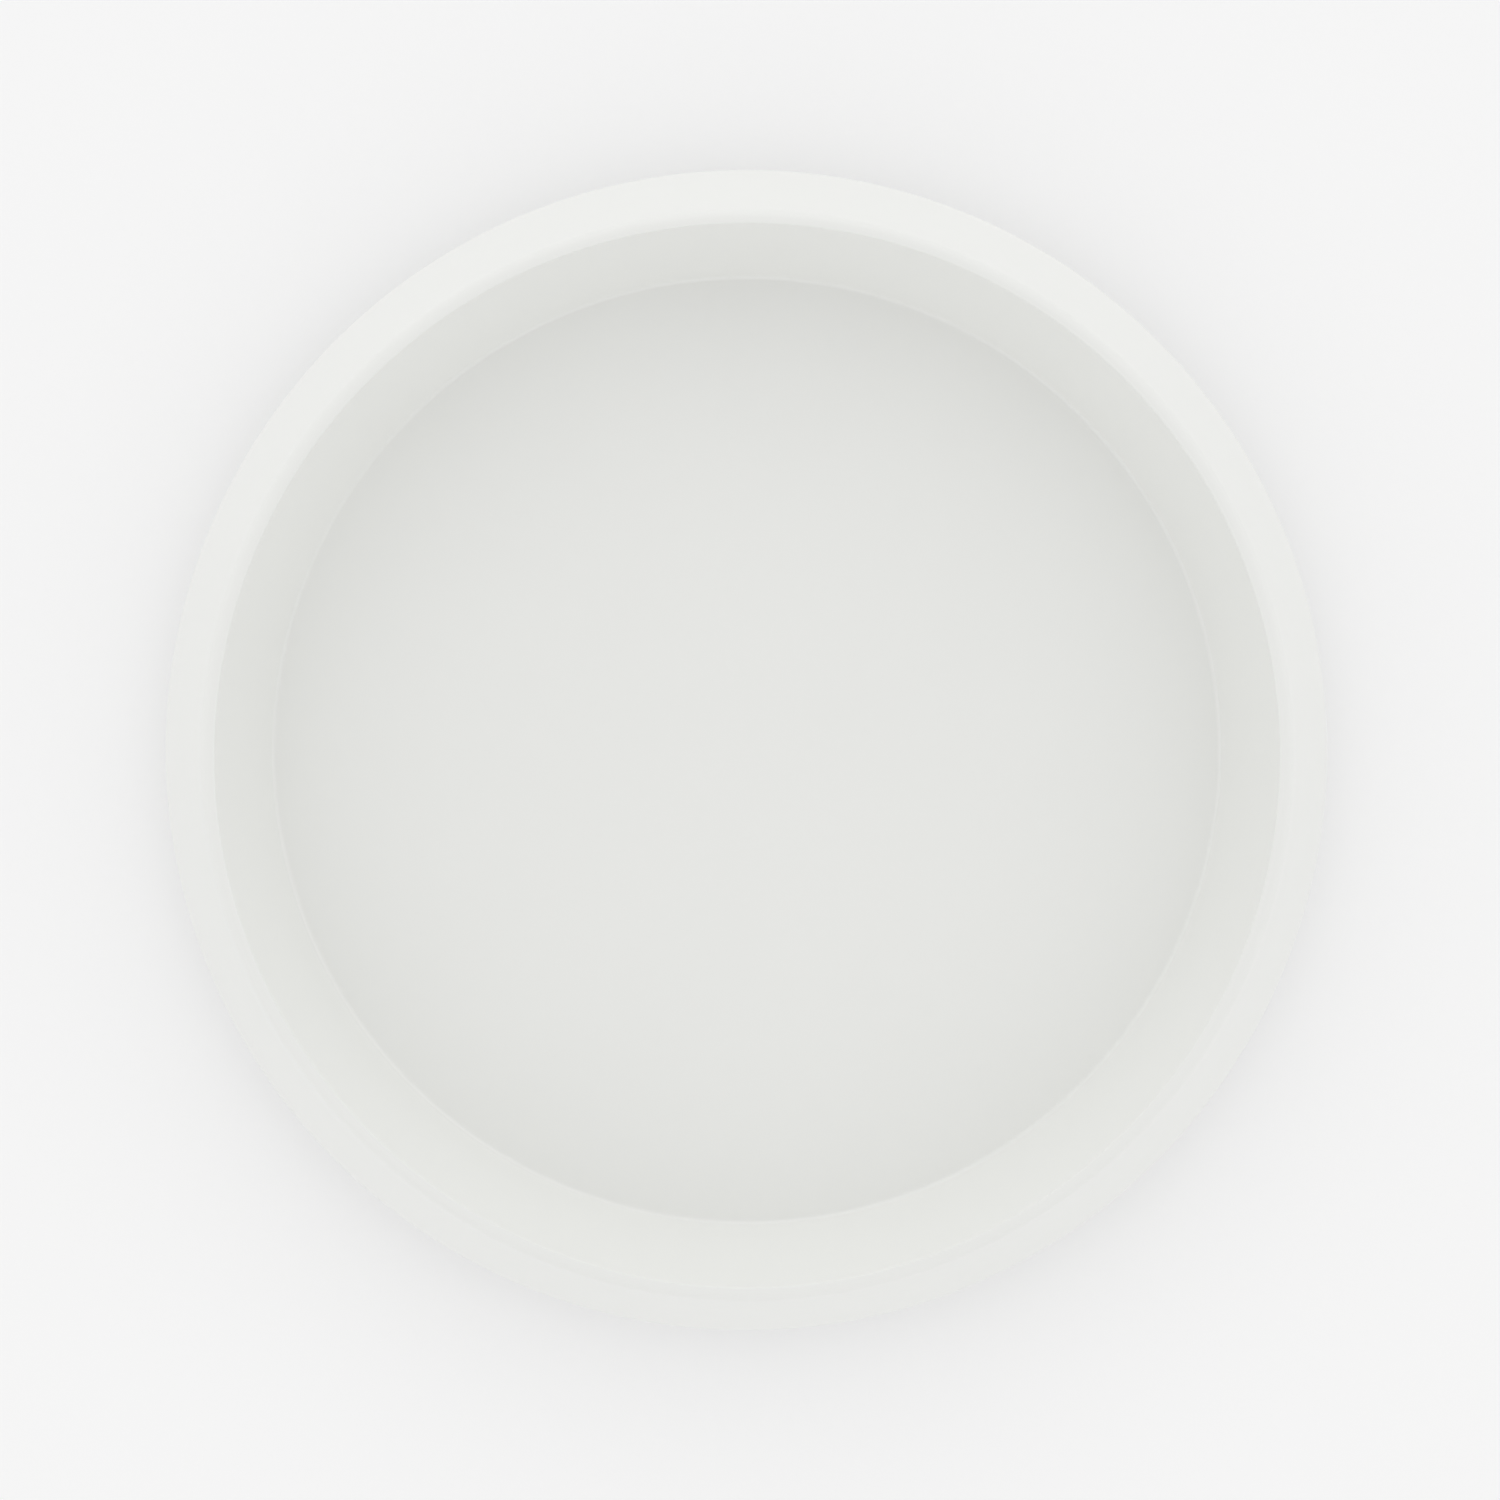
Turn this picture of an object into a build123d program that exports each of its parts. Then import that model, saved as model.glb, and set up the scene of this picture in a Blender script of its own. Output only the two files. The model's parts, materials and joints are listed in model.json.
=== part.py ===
from build123d import *
import os

# A lazy susan: a round moulded tray that turns on a ring of caged steel balls over a low base.
# Millimetres, +Z up. The turning axis is the Z axis and the rubber feet stand on z = 0.

# ---- Tray shell ----
OVERALL_DIAMETER = 267.0
OVERALL_HEIGHT = 46.0
RIM_RADIUS = OVERALL_DIAMETER / 2
SHELL = 2.4
WALL_RISE = 30.0
WALL_LEAN = 10.0
CREST_WIDTH = 2.6
SKIRT_SPREAD = 11.3
FINGER_BAND_TOP = 22.0
FINGER_BAND_FOOT = 13.4
FLOOR_CORNER_ROUND = 1.2
CREST_INNER_ROUND = 0.4
CREST_OUTER_ROUND = 2.6
BAND_ROUND = 2.5
HOLLOW_RIM_ROUND = 0.6
EDGE_ROUND = 0.8
SMALL_ROUND = 0.3

FLOOR_TOP = OVERALL_HEIGHT - WALL_RISE
FLOOR_UNDER = FLOOR_TOP - SHELL
CREST_OUTER = RIM_RADIUS - SKIRT_SPREAD
CREST_INNER = CREST_OUTER - CREST_WIDTH
FLOOR_RADIUS = CREST_INNER - WALL_LEAN
WALL_SLOPE = WALL_LEAN / WALL_RISE
SKIRT_SLOPE = SKIRT_SPREAD / (OVERALL_HEIGHT - FINGER_BAND_TOP)

# ---- Ball bearing ----
# BALL_PLAY is the gap left above and below each ball at rest.
BALLS = 12
BALL_RADIUS = 3.0
BALL_CIRCLE = 72.0
BALL_HEIGHT = 10.45
BALL_PLAY = 0.04
GROOVE_RADIUS = 3.3
GROOVE_OFFSET = GROOVE_RADIUS - BALL_RADIUS - BALL_PLAY
CAGE_THICKNESS = 2.4
CAGE_WIDTH = 11.0
POCKET_RADIUS = 3.15
UPPER_RACE_FACE = 12.4
UPPER_RACE_WIDTH = 7.0
LOWER_RACE_FACE = 8.5
RACE_CHANNEL_WIDTH = 14.0

# ---- Ribs under the tray and under the base ----
# WELD is how far a rib or boss runs into the wall that it grows from.
RIBS = 12
RIB_THICKNESS = 1.6
TRAY_RIB_FOOT = 12.0
TRAY_HUB_RING = 16.0
BASE_RIB_FOOT = 3.0
BASE_RING_RIB = 40.0
WELD = 0.5

# ---- Base ----
BASE_RADIUS = 100.0
BASE_TOP = 9.5
BASE_PLATE_UNDER = 7.3
BASE_RIM_FOOT = 1.5
BASE_RIM_ROUND = 1.5
BASE_RIM_THICKNESS = 2.4
RACE_BACKING_UNDER = 5.2
RACE_BACKING_WIDTH = 17.0

# ---- Pivot, from the tray's centre post down to the screw head ----
POST_RADIUS = 6.0
POST_FOOT = 4.7
BUSHING_PLAY = 0.06
BUSHING_RADIUS = 8.0
BUSHING_FLANGE_RADIUS = 11.0
BUSHING_FLANGE_THICKNESS = 1.0
HUB_RADIUS = 12.0
HUB_TOP = 12.0
HUB_UNDER = 5.6
WELL_RADIUS = 13.0
THRUST_WASHER_RADIUS = 12.0
THRUST_WASHER_GAP = 0.05
THRUST_WASHER_FOOT = POST_FOOT + THRUST_WASHER_GAP
THRUST_WASHER_PLAY = 0.12
CLAMP_WASHER_RADIUS = 11.0
CLAMP_WASHER_THICKNESS = 1.2
CLAMP_WASHER_PLAY = 0.15
SCREW_RADIUS = 2.5
SCREW_TIP = 12.8
SCREW_TIP_ROUND = 0.5
SCREW_HOLE_TOP = 13.2
SCREW_HEAD_RADIUS = 4.75
SCREW_HEAD_HEIGHT = 1.9
SCREW_HEAD_ROUND = 1.2
DRIVE_SLOT_LENGTH = 4.8
DRIVE_SLOT_WIDTH = 1.1
DRIVE_SLOT_DEPTH = 1.1

# ---- Rubber feet ----
FEET = 6
FOOT_CIRCLE = 88.0
FOOT_RADIUS = 7.0
FOOT_HEIGHT = 2.5
FOOT_CHAMFER = 0.5
FOOT_GROOVE_RADII = (2.4, 4.6)
FOOT_GROOVE_WIDTH = 0.8
FOOT_GROOVE_DEPTH = 0.4
FOOT_SEAT_PLAY = 0.1
FOOT_BOSS_RADIUS = 9.0


def turned(corners):
    """A solid turned about Z from an outline of (radius, height, corner rounding) corners."""
    face = make_face(Polyline(*[(r, z) for r, z, _ in corners], close=True))
    for r, z, rounding in corners:
        if rounding:
            corner = face.vertices().sort_by_distance((r, z))[0]
            face = fillet(corner, rounding)
    return revolve(Plane.XZ * face, Axis.Z)


def tube(inner, outer, bottom, top):
    """A plain ring between two radii and two heights."""
    return turned([(inner, bottom, 0), (outer, bottom, 0), (outer, top, 0), (inner, top, 0)])


def around(piece, count):
    """Evenly spaced copies of a piece about the Z axis."""
    return [Rot(0, 0, n * 360 / count) * piece for n in range(count)]


def radial_bar(inner, outer, bottom, top, thickness):
    """A straight rib that runs outward along +X."""
    size = (outer - inner, thickness, top - bottom)
    return Pos((inner + outer) / 2, 0, (bottom + top) / 2) * Box(*size)


def wall_line(height, depth):
    """Radius of the bowl wall at a height, at a depth behind the face inside the bowl."""
    return FLOOR_RADIUS + depth * (1 + WALL_SLOPE**2) ** 0.5 + (height - FLOOR_TOP) * WALL_SLOPE


def skirt_line(height, depth):
    """Radius of the outer skirt at a height, at a depth behind its outside face."""
    return CREST_OUTER - depth * (1 + SKIRT_SLOPE**2) ** 0.5 + (OVERALL_HEIGHT - height) * SKIRT_SLOPE


def tray_shell():
    """Floor, leaning wall, flat crest and downturned skirt, as one skin of even thickness."""
    hollow_width = skirt_line(FLOOR_TOP, SHELL) - wall_line(FLOOR_TOP, SHELL)
    hollow_top = FLOOR_TOP + hollow_width / (WALL_SLOPE + SKIRT_SLOPE)
    band_inner = RIM_RADIUS - SHELL
    band_inner_top = OVERALL_HEIGHT - (band_inner - skirt_line(OVERALL_HEIGHT, SHELL)) / SKIRT_SLOPE
    return turned(
        [
            (0, FLOOR_UNDER, 0),
            (wall_line(FLOOR_UNDER, SHELL), FLOOR_UNDER, FLOOR_CORNER_ROUND + SHELL),
            (wall_line(hollow_top, SHELL), hollow_top, HOLLOW_RIM_ROUND),
            (band_inner, band_inner_top, BAND_ROUND),
            (band_inner, FINGER_BAND_FOOT, EDGE_ROUND),
            (RIM_RADIUS, FINGER_BAND_FOOT, EDGE_ROUND),
            (RIM_RADIUS, FINGER_BAND_TOP, BAND_ROUND),
            (CREST_OUTER, OVERALL_HEIGHT, CREST_OUTER_ROUND),
            (CREST_INNER, OVERALL_HEIGHT, CREST_INNER_ROUND),
            (FLOOR_RADIUS, FLOOR_TOP, FLOOR_CORNER_ROUND),
            (0, FLOOR_TOP, 0),
        ]
    )


def turntable_tray():
    """The one-piece tray with its ribs, upper ball race and centre post."""
    race_inner = BALL_CIRCLE - UPPER_RACE_WIDTH / 2
    race_outer = BALL_CIRCLE + UPPER_RACE_WIDTH / 2
    inside_floor = FLOOR_UNDER + WELD
    ring_inner = TRAY_HUB_RING - RIB_THICKNESS
    ribs = [
        radial_bar(TRAY_HUB_RING - WELD, race_inner + WELD, TRAY_RIB_FOOT, inside_floor, RIB_THICKNESS),
        radial_bar(race_outer - WELD, FLOOR_RADIUS, TRAY_RIB_FOOT, inside_floor, RIB_THICKNESS),
    ]
    tray = tray_shell()
    for rib in ribs:
        tray += around(rib, RIBS)
    tray += tube(ring_inner, TRAY_HUB_RING, TRAY_RIB_FOOT, inside_floor)
    tray += tube(race_inner, race_outer, UPPER_RACE_FACE, inside_floor)
    tray += tube(0, POST_RADIUS, POST_FOOT, inside_floor)
    tray -= Pos(0, 0, BALL_HEIGHT - GROOVE_OFFSET) * Torus(BALL_CIRCLE, GROOVE_RADIUS)
    tray -= tube(0, SCREW_RADIUS, POST_FOOT, SCREW_HOLE_TOP)
    return tray


def base_plate():
    """The stationary base: hub, lower ball race, ribs and seats for the feet."""
    channel_inner = BALL_CIRCLE - RACE_CHANNEL_WIDTH / 2
    channel_outer = BALL_CIRCLE + RACE_CHANNEL_WIDTH / 2
    backing_inner = BALL_CIRCLE - RACE_BACKING_WIDTH / 2
    backing_outer = BALL_CIRCLE + RACE_BACKING_WIDTH / 2
    rim_inner = BASE_RADIUS - BASE_RIM_THICKNESS
    well_outer = WELL_RADIUS + RIB_THICKNESS
    base = turned(
        [
            (BUSHING_RADIUS, HUB_UNDER, 0),
            (WELL_RADIUS, HUB_UNDER, 0),
            (WELL_RADIUS, BASE_RIB_FOOT, 0),
            (well_outer, BASE_RIB_FOOT, 0),
            (well_outer, BASE_PLATE_UNDER, 0),
            (backing_inner, BASE_PLATE_UNDER, 0),
            (backing_inner, RACE_BACKING_UNDER, 0),
            (backing_outer, RACE_BACKING_UNDER, 0),
            (backing_outer, BASE_PLATE_UNDER, 0),
            (rim_inner, BASE_PLATE_UNDER, 0),
            (rim_inner, BASE_RIM_FOOT, EDGE_ROUND),
            (BASE_RADIUS, BASE_RIM_FOOT, EDGE_ROUND),
            (BASE_RADIUS, BASE_TOP, BASE_RIM_ROUND),
            (channel_outer, BASE_TOP, 0),
            (channel_outer, LOWER_RACE_FACE, 0),
            (channel_inner, LOWER_RACE_FACE, 0),
            (channel_inner, BASE_TOP, 0),
            (HUB_RADIUS, BASE_TOP, 0),
            (HUB_RADIUS, HUB_TOP, EDGE_ROUND),
            (BUSHING_RADIUS, HUB_TOP, 0),
        ]
    )
    inside_plate = BASE_PLATE_UNDER + WELD
    rib = radial_bar(well_outer - WELD, rim_inner + WELD, BASE_RIB_FOOT, inside_plate, RIB_THICKNESS)
    seat_radius = FOOT_RADIUS + FOOT_SEAT_PLAY
    boss = Pos(FOOT_CIRCLE, 0, 0) * tube(0, FOOT_BOSS_RADIUS, BASE_RIM_FOOT, inside_plate)
    seat = Pos(FOOT_CIRCLE, 0, 0) * tube(0, seat_radius, BASE_RIM_FOOT, BASE_PLATE_UNDER)
    cross_bar = Pos(0, 0, (FOOT_HEIGHT + inside_plate) / 2) * Box(
        2 * seat_radius + WELD, RIB_THICKNESS, inside_plate - FOOT_HEIGHT
    )
    cross = Pos(FOOT_CIRCLE, 0, 0) * (cross_bar + Rot(0, 0, 90) * cross_bar)

    base += around(rib, RIBS)
    base += tube(BASE_RING_RIB, BASE_RING_RIB + RIB_THICKNESS, BASE_RIB_FOOT, inside_plate)
    base += around(boss, FEET)
    base -= around(seat, FEET)
    base += around(cross, FEET)
    base -= Pos(0, 0, BALL_HEIGHT + GROOVE_OFFSET) * Torus(BALL_CIRCLE, GROOVE_RADIUS)
    return base


def pivot_bushing():
    """The flanged plain bearing pressed into the hub of the base."""
    bore = POST_RADIUS + BUSHING_PLAY
    flange_top = HUB_TOP + BUSHING_FLANGE_THICKNESS
    return turned(
        [
            (bore, HUB_UNDER, SMALL_ROUND),
            (BUSHING_RADIUS, HUB_UNDER, 0),
            (BUSHING_RADIUS, HUB_TOP, 0),
            (BUSHING_FLANGE_RADIUS, HUB_TOP, 0),
            (BUSHING_FLANGE_RADIUS, flange_top, SMALL_ROUND),
            (bore, flange_top, SMALL_ROUND),
        ]
    )


def thrust_washer():
    """The plastic washer between the hub of the base and the steel clamp washer."""
    return tube(POST_RADIUS + THRUST_WASHER_PLAY, THRUST_WASHER_RADIUS, THRUST_WASHER_FOOT, HUB_UNDER)


def clamp_washer():
    """The steel washer that the screw holds against the end of the centre post."""
    bottom = POST_FOOT - CLAMP_WASHER_THICKNESS
    bore = SCREW_RADIUS + CLAMP_WASHER_PLAY
    return turned(
        [
            (bore, bottom, 0),
            (CLAMP_WASHER_RADIUS, bottom, SMALL_ROUND),
            (CLAMP_WASHER_RADIUS, POST_FOOT, SMALL_ROUND),
            (bore, POST_FOOT, 0),
        ]
    )


def pivot_screw():
    """The pan-head screw, with a cross recess, driven up into the centre post."""
    head_top = POST_FOOT - CLAMP_WASHER_THICKNESS
    head_bottom = head_top - SCREW_HEAD_HEIGHT
    screw = turned(
        [
            (0, head_bottom, 0),
            (SCREW_HEAD_RADIUS, head_bottom, SCREW_HEAD_ROUND),
            (SCREW_HEAD_RADIUS, head_top, 0),
            (SCREW_RADIUS, head_top, 0),
            (SCREW_RADIUS, SCREW_TIP, SCREW_TIP_ROUND),
            (0, SCREW_TIP, 0),
        ]
    )
    slot = Pos(0, 0, head_bottom + DRIVE_SLOT_DEPTH / 2) * Box(
        DRIVE_SLOT_LENGTH, DRIVE_SLOT_WIDTH, DRIVE_SLOT_DEPTH
    )
    screw -= slot
    screw -= Rot(0, 0, 90) * slot
    return screw


def ball_cage():
    """The flat ring that keeps the balls evenly spaced; each round pocket snaps over its ball."""
    half = CAGE_THICKNESS / 2
    ring = tube(
        BALL_CIRCLE - CAGE_WIDTH / 2,
        BALL_CIRCLE + CAGE_WIDTH / 2,
        BALL_HEIGHT - half,
        BALL_HEIGHT + half,
    )
    return ring - around(Pos(BALL_CIRCLE, 0, BALL_HEIGHT) * Sphere(POCKET_RADIUS), BALLS)


def balls():
    """The steel balls, each at its place on the ball circle."""
    return around(Pos(BALL_CIRCLE, 0, BALL_HEIGHT) * Sphere(BALL_RADIUS), BALLS)


def rubber_feet():
    """The non-slip feet, each with two shallow grip grooves in its sole."""
    foot = turned(
        [(0, 0, 0), (FOOT_RADIUS, 0, 0), (FOOT_RADIUS, FOOT_HEIGHT, 0), (0, FOOT_HEIGHT, 0)]
    )
    foot = chamfer(foot.edges().filter_by(GeomType.CIRCLE).sort_by(Axis.Z)[0], FOOT_CHAMFER)
    for radius in FOOT_GROOVE_RADII:
        foot -= tube(radius, radius + FOOT_GROOVE_WIDTH, 0, FOOT_GROOVE_DEPTH)
    return around(Pos(FOOT_CIRCLE, 0, 0) * foot, FEET)


def all_nodes():
    """Every separate piece of the turntable by name."""
    nodes = {
        "turntable_tray": turntable_tray(),
        "base_plate": base_plate(),
        "pivot_bushing": pivot_bushing(),
        "thrust_washer": thrust_washer(),
        "clamp_washer": clamp_washer(),
        "pivot_screw": pivot_screw(),
        "ball_cage": ball_cage(),
    }
    for n, ball in enumerate(balls(), start=1):
        nodes[f"ball_{n:02d}"] = ball
    for n, foot in enumerate(rubber_feet(), start=1):
        nodes[f"rubber_foot_{n}"] = foot
    return nodes


os.makedirs("parts", exist_ok=True)
for name, solid in all_nodes().items():
    export_step(solid, f"parts/{name}.step")
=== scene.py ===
import json
import math

import bmesh
import bpy
from mathutils import Matrix, Vector


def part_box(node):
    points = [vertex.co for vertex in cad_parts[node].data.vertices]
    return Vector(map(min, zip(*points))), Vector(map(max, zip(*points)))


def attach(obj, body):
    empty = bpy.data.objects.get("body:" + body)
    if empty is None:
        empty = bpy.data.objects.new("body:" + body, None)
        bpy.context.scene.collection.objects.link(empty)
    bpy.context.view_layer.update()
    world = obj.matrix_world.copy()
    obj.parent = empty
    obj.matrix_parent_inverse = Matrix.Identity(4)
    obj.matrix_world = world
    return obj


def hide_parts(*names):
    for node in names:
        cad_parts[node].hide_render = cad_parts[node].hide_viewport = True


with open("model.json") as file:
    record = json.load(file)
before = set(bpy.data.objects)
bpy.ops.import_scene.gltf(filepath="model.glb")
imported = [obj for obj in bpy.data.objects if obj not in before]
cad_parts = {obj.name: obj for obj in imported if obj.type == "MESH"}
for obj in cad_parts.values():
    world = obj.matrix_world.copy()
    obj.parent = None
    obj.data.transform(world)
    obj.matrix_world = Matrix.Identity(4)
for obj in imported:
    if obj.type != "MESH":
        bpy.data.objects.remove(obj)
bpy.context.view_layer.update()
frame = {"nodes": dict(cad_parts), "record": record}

# The looks of a lazy susan: a satin white moulded tray that turns on caged steel balls over a low base.
# Metres, in the frame of the CAD model: +Z up along the turning axis, rubber feet on z = 0.

MM = 0.001
AXIS = Vector((0, 0, 1))

# ---- Sizes that the frame gives ----
TRAY_LOW, TRAY_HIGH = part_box("turntable_tray")
BASE_LOW, BASE_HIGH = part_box("base_plate")
BUSHING_LOW, BUSHING_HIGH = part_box("pivot_bushing")
THRUST_LOW, THRUST_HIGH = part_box("thrust_washer")
CLAMP_LOW, CLAMP_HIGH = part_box("clamp_washer")
SCREW_LOW, SCREW_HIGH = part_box("pivot_screw")
CAGE_LOW, CAGE_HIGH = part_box("ball_cage")
FOOT_LOW, FOOT_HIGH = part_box("rubber_foot_1")
BALL_LOW, BALL_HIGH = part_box("ball_01")
MOUNTS = {mount["name"]: Vector(mount["pos_m"]) for mount in frame["record"]["mounts"]}
LOOSE_BALLS = [name for name in frame["nodes"] if name.startswith("ball_") and name != "ball_cage"]

CREST_HEIGHT = TRAY_HIGH.z
RIM_RADIUS = TRAY_HIGH.x
FLOOR_TOP = MOUNTS["tray_floor"].z
POST_FOOT = TRAY_LOW.z
FOOT_CIRCLE = MOUNTS["feet_rest"].x
FOOT_RADIUS = (FOOT_HIGH.x - FOOT_LOW.x) / 2
FOOT_HEIGHT = FOOT_HIGH.z
BALL_CIRCLE = (BALL_HIGH.x + BALL_LOW.x) / 2
BALL_HEIGHT = (BALL_HIGH.z + BALL_LOW.z) / 2
BALL_RADIUS = (BALL_HIGH.x - BALL_LOW.x) / 2
BASE_RADIUS = BASE_HIGH.x
HUB_TOP = BASE_HIGH.z
BASE_RIM_FOOT = BASE_LOW.z

# ---- Tray shell ----
SHELL = 2.4 * MM
WALL_LEAN = 10 * MM
CREST_WIDTH = 2.6 * MM
SKIRT_SPREAD = 11.3 * MM
FINGER_BAND_TOP = 22 * MM
FINGER_BAND_FOOT = 13.4 * MM
FLOOR_CORNER_ROUND = 1.2 * MM
CREST_INNER_ROUND = 0.4 * MM
CREST_OUTER_ROUND = 2.6 * MM
BAND_ROUND = 2.5 * MM
HOLLOW_RIM_ROUND = 0.6 * MM
EDGE_ROUND = 0.8 * MM
SOFT_EDGE = 0.3 * MM
CREST_OUTER = RIM_RADIUS - SKIRT_SPREAD
CREST_INNER = CREST_OUTER - CREST_WIDTH
FLOOR_RADIUS = CREST_INNER - WALL_LEAN
FLOOR_UNDER = FLOOR_TOP - SHELL
WALL_RISE = CREST_HEIGHT - FLOOR_TOP
SKIRT_DROP = CREST_HEIGHT - FINGER_BAND_TOP
WALL_SLOPE = WALL_LEAN / WALL_RISE
SKIRT_SLOPE = SKIRT_SPREAD / SKIRT_DROP

# ---- Ribs and races ----
BALLS = len(LOOSE_BALLS)
RIBS = 12
RIB_THICKNESS = 1.6 * MM
TRAY_RIB_FOOT = 12 * MM
TRAY_HUB_RING = 16 * MM
BALL_PLAY = 0.04 * MM
GROOVE_RADIUS = 3.3 * MM
GROOVE_OFFSET = GROOVE_RADIUS - BALL_RADIUS - BALL_PLAY
POCKET_RADIUS = 3.15 * MM
UPPER_RACE_FACE = 12.4 * MM
UPPER_RACE_WIDTH = 7 * MM
UPPER_RACE_TOP = FLOOR_UNDER + 1.5 * MM
LOWER_RACE_FACE = 8.5 * MM
RACE_CHANNEL_WIDTH = 14 * MM
WELD = 0.5 * MM

# ---- Base and pivot ----
BASE_TOP = 9.5 * MM
BASE_PLATE_UNDER = 7.3 * MM
BASE_RIB_TOP = BASE_PLATE_UNDER + 0.05 * MM
BASE_RIB_FOOT = 3 * MM
BASE_RING_RIB = 40 * MM
BASE_RIM_ROUND = 1.5 * MM
BASE_RIM_THICKNESS = 2.4 * MM
RACE_BACKING_UNDER = 5.2 * MM
RACE_BACKING_WIDTH = 17 * MM
FEET = len([name for name in frame["nodes"] if name.startswith("rubber_foot_")])
FOOT_BOSS_RADIUS = 9 * MM
FOOT_SEAT_PLAY = 0.1 * MM
FOOT_SEAT_RADIUS = FOOT_RADIUS + FOOT_SEAT_PLAY
HUB_RADIUS = 12 * MM
HUB_UNDER = BUSHING_LOW.z
WELL_RADIUS = 13 * MM
POST_RADIUS = 6 * MM
BUSHING_RADIUS = 8 * MM
BUSHING_BORE = POST_RADIUS + 0.06 * MM
THRUST_WASHER_BORE = POST_RADIUS + 0.12 * MM
THRUST_WASHER_EDGE = 0.15 * MM
CLAMP_WASHER_EDGE = 0.2 * MM

# ---- Pivot screw ----
SCREW_RADIUS = 2.5 * MM
SCREW_HOLE_TOP = 13.2 * MM
CLAMP_WASHER_BORE = SCREW_RADIUS + 0.15 * MM
SCREW_HEAD_ROUND = 1.2 * MM
SCREW_HEAD_EDGE = 0.15 * MM
RECESS_MOUTH = 4.8 * MM
RECESS_FLOOR = 2.6 * MM
RECESS_WIDTH = 1.1 * MM
RECESS_DEPTH = 1.1 * MM
THREAD_PITCH = 1.8 * MM
THREAD_DEPTH = 0.55 * MM
THREAD_RUN_OUT = 1.2 * MM
POINT_SLIMMING = 0.25

# ---- Rubber feet ----
FOOT_TOP_ROUND = 0.2 * MM
FOOT_SOLE_ROUND = 0.5 * MM
FOOT_GROOVE_RADII = (4.6 * MM, 2.4 * MM)
FOOT_GROOVE_WIDTH = 0.8 * MM
FOOT_GROOVE_DEPTH = 0.4 * MM
FOOT_GROOVE_ROUND = 0.12 * MM

# ---- Colours in linear light ----
TRAY_WHITE = (0.876, 0.881, 0.858)
BASE_WHITE = (0.86, 0.865, 0.843)
CAGE_GREY = (0.2, 0.21, 0.22)
ACETAL = (0.72, 0.7, 0.64)
NYLON = (0.64, 0.62, 0.55)
WASHER_ZINC = (0.62, 0.62, 0.63)
SCREW_ZINC = (0.6, 0.6, 0.61)
BALL_STEEL_DULL = (0.66, 0.66, 0.67)
BALL_STEEL_BRIGHT = (0.7, 0.7, 0.7)
RUBBER_CLEAN = (0.29, 0.29, 0.28)
RUBBER_DUSTY = (0.36, 0.36, 0.35)

# ---- Refraction of the plastics ----
POLYPROPYLENE_IOR = 1.49
NATURAL_PLASTIC_IOR = 1.48

# ---- Wear ----
SCRATCH_LENGTH = 14 * MM
SCRATCH_WIDTH = 0.25 * MM
SCRATCH_ANGLES = (0.4, 1.9)

# ---- Light tent: direction and strength of each panel ----
DOME_LEVEL = 0.42
PANEL_SPREAD = 4
TENT_PANELS = (
    ((0, 0.87, 0.5), 1.06),
    ((0, -0.87, 0.5), 0.81),
    ((1, 0, 0.3), 0.73),
    ((-1, 0, 0.3), 0.73),
)

# ---- Studio floor and camera ----
STUDIO_HALF_WIDTH = 4.0
STUDIO_WHITE = 0.6
STUDIO_GLOW = 0.36
CAMERA_DISTANCE = 1.0
SEEN_WIDTH = 0.3465
CAMERA_AIM = Vector((0.00074, 0.00055, FLOOR_TOP))
CAMERA_PLACE = Vector((-0.0067, 0.0455, FLOOR_TOP + CAMERA_DISTANCE))
SENSOR_WIDTH = 36

# ---- Mesh fineness ----
AROUND_LARGE = 288
AROUND_SMALL = 72
AROUND_THREAD = 48
RINGS_PER_THREAD = 16
BALL_CUTS = 13
LONGEST_SPAN = 6 * MM
ARC_STEP = math.radians(11)
SHARP_ANGLE = math.radians(32)
TOUCHING = 0.0001 * MM


# ---------------------------------------------------------------- outlines
def arc(centre, radius, start, end):
    """Points of an arc in the (radius, height) plane, from one angle to another."""
    steps = max(2, math.ceil(abs(end - start) / ARC_STEP))
    angles = [start + (end - start) * n / steps for n in range(steps + 1)]
    return [centre + Vector((math.cos(a), math.sin(a))) * radius for a in angles]


def rounded_corner(before, corner, after, rounding):
    """The arc that replaces a corner between two straight runs."""
    back = (before - corner).normalized()
    ahead = (after - corner).normalized()
    half = back.angle(ahead) / 2
    reach = rounding / math.tan(half)
    centre = corner + (back + ahead).normalized() * (rounding / math.sin(half))
    first = corner + back * reach - centre
    last = corner + ahead * reach - centre
    start = math.atan2(first.y, first.x)
    turn = math.atan2(first.x * last.y - first.y * last.x, first.dot(last))
    return arc(centre, rounding, start, start + turn)


def outline(corners, closed=True):
    """Outline points from (radius, height, rounding) corners; a rounding of 0 is a sharp corner."""
    points = []
    spots = [Vector(c[:2]) for c in corners]
    for n, (_, _, rounding) in enumerate(corners):
        end = not closed and n in (0, len(corners) - 1)
        if rounding and not end:
            after = spots[(n + 1) % len(spots)]
            points += rounded_corner(spots[n - 1], spots[n], after, rounding)
        else:
            points.append(spots[n])
    return points


def divided(points, closed=True):
    """The same outline with long straight runs cut into equal shorter ones."""
    made = []
    pairs = zip(points, points[1:] + points[:1]) if closed else zip(points, points[1:])
    for a, b in pairs:
        cuts = max(1, math.ceil((b - a).length / LONGEST_SPAN))
        made += [a.lerp(b, n / cuts) for n in range(cuts)]
    return made if closed else made + [points[-1]]


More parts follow.
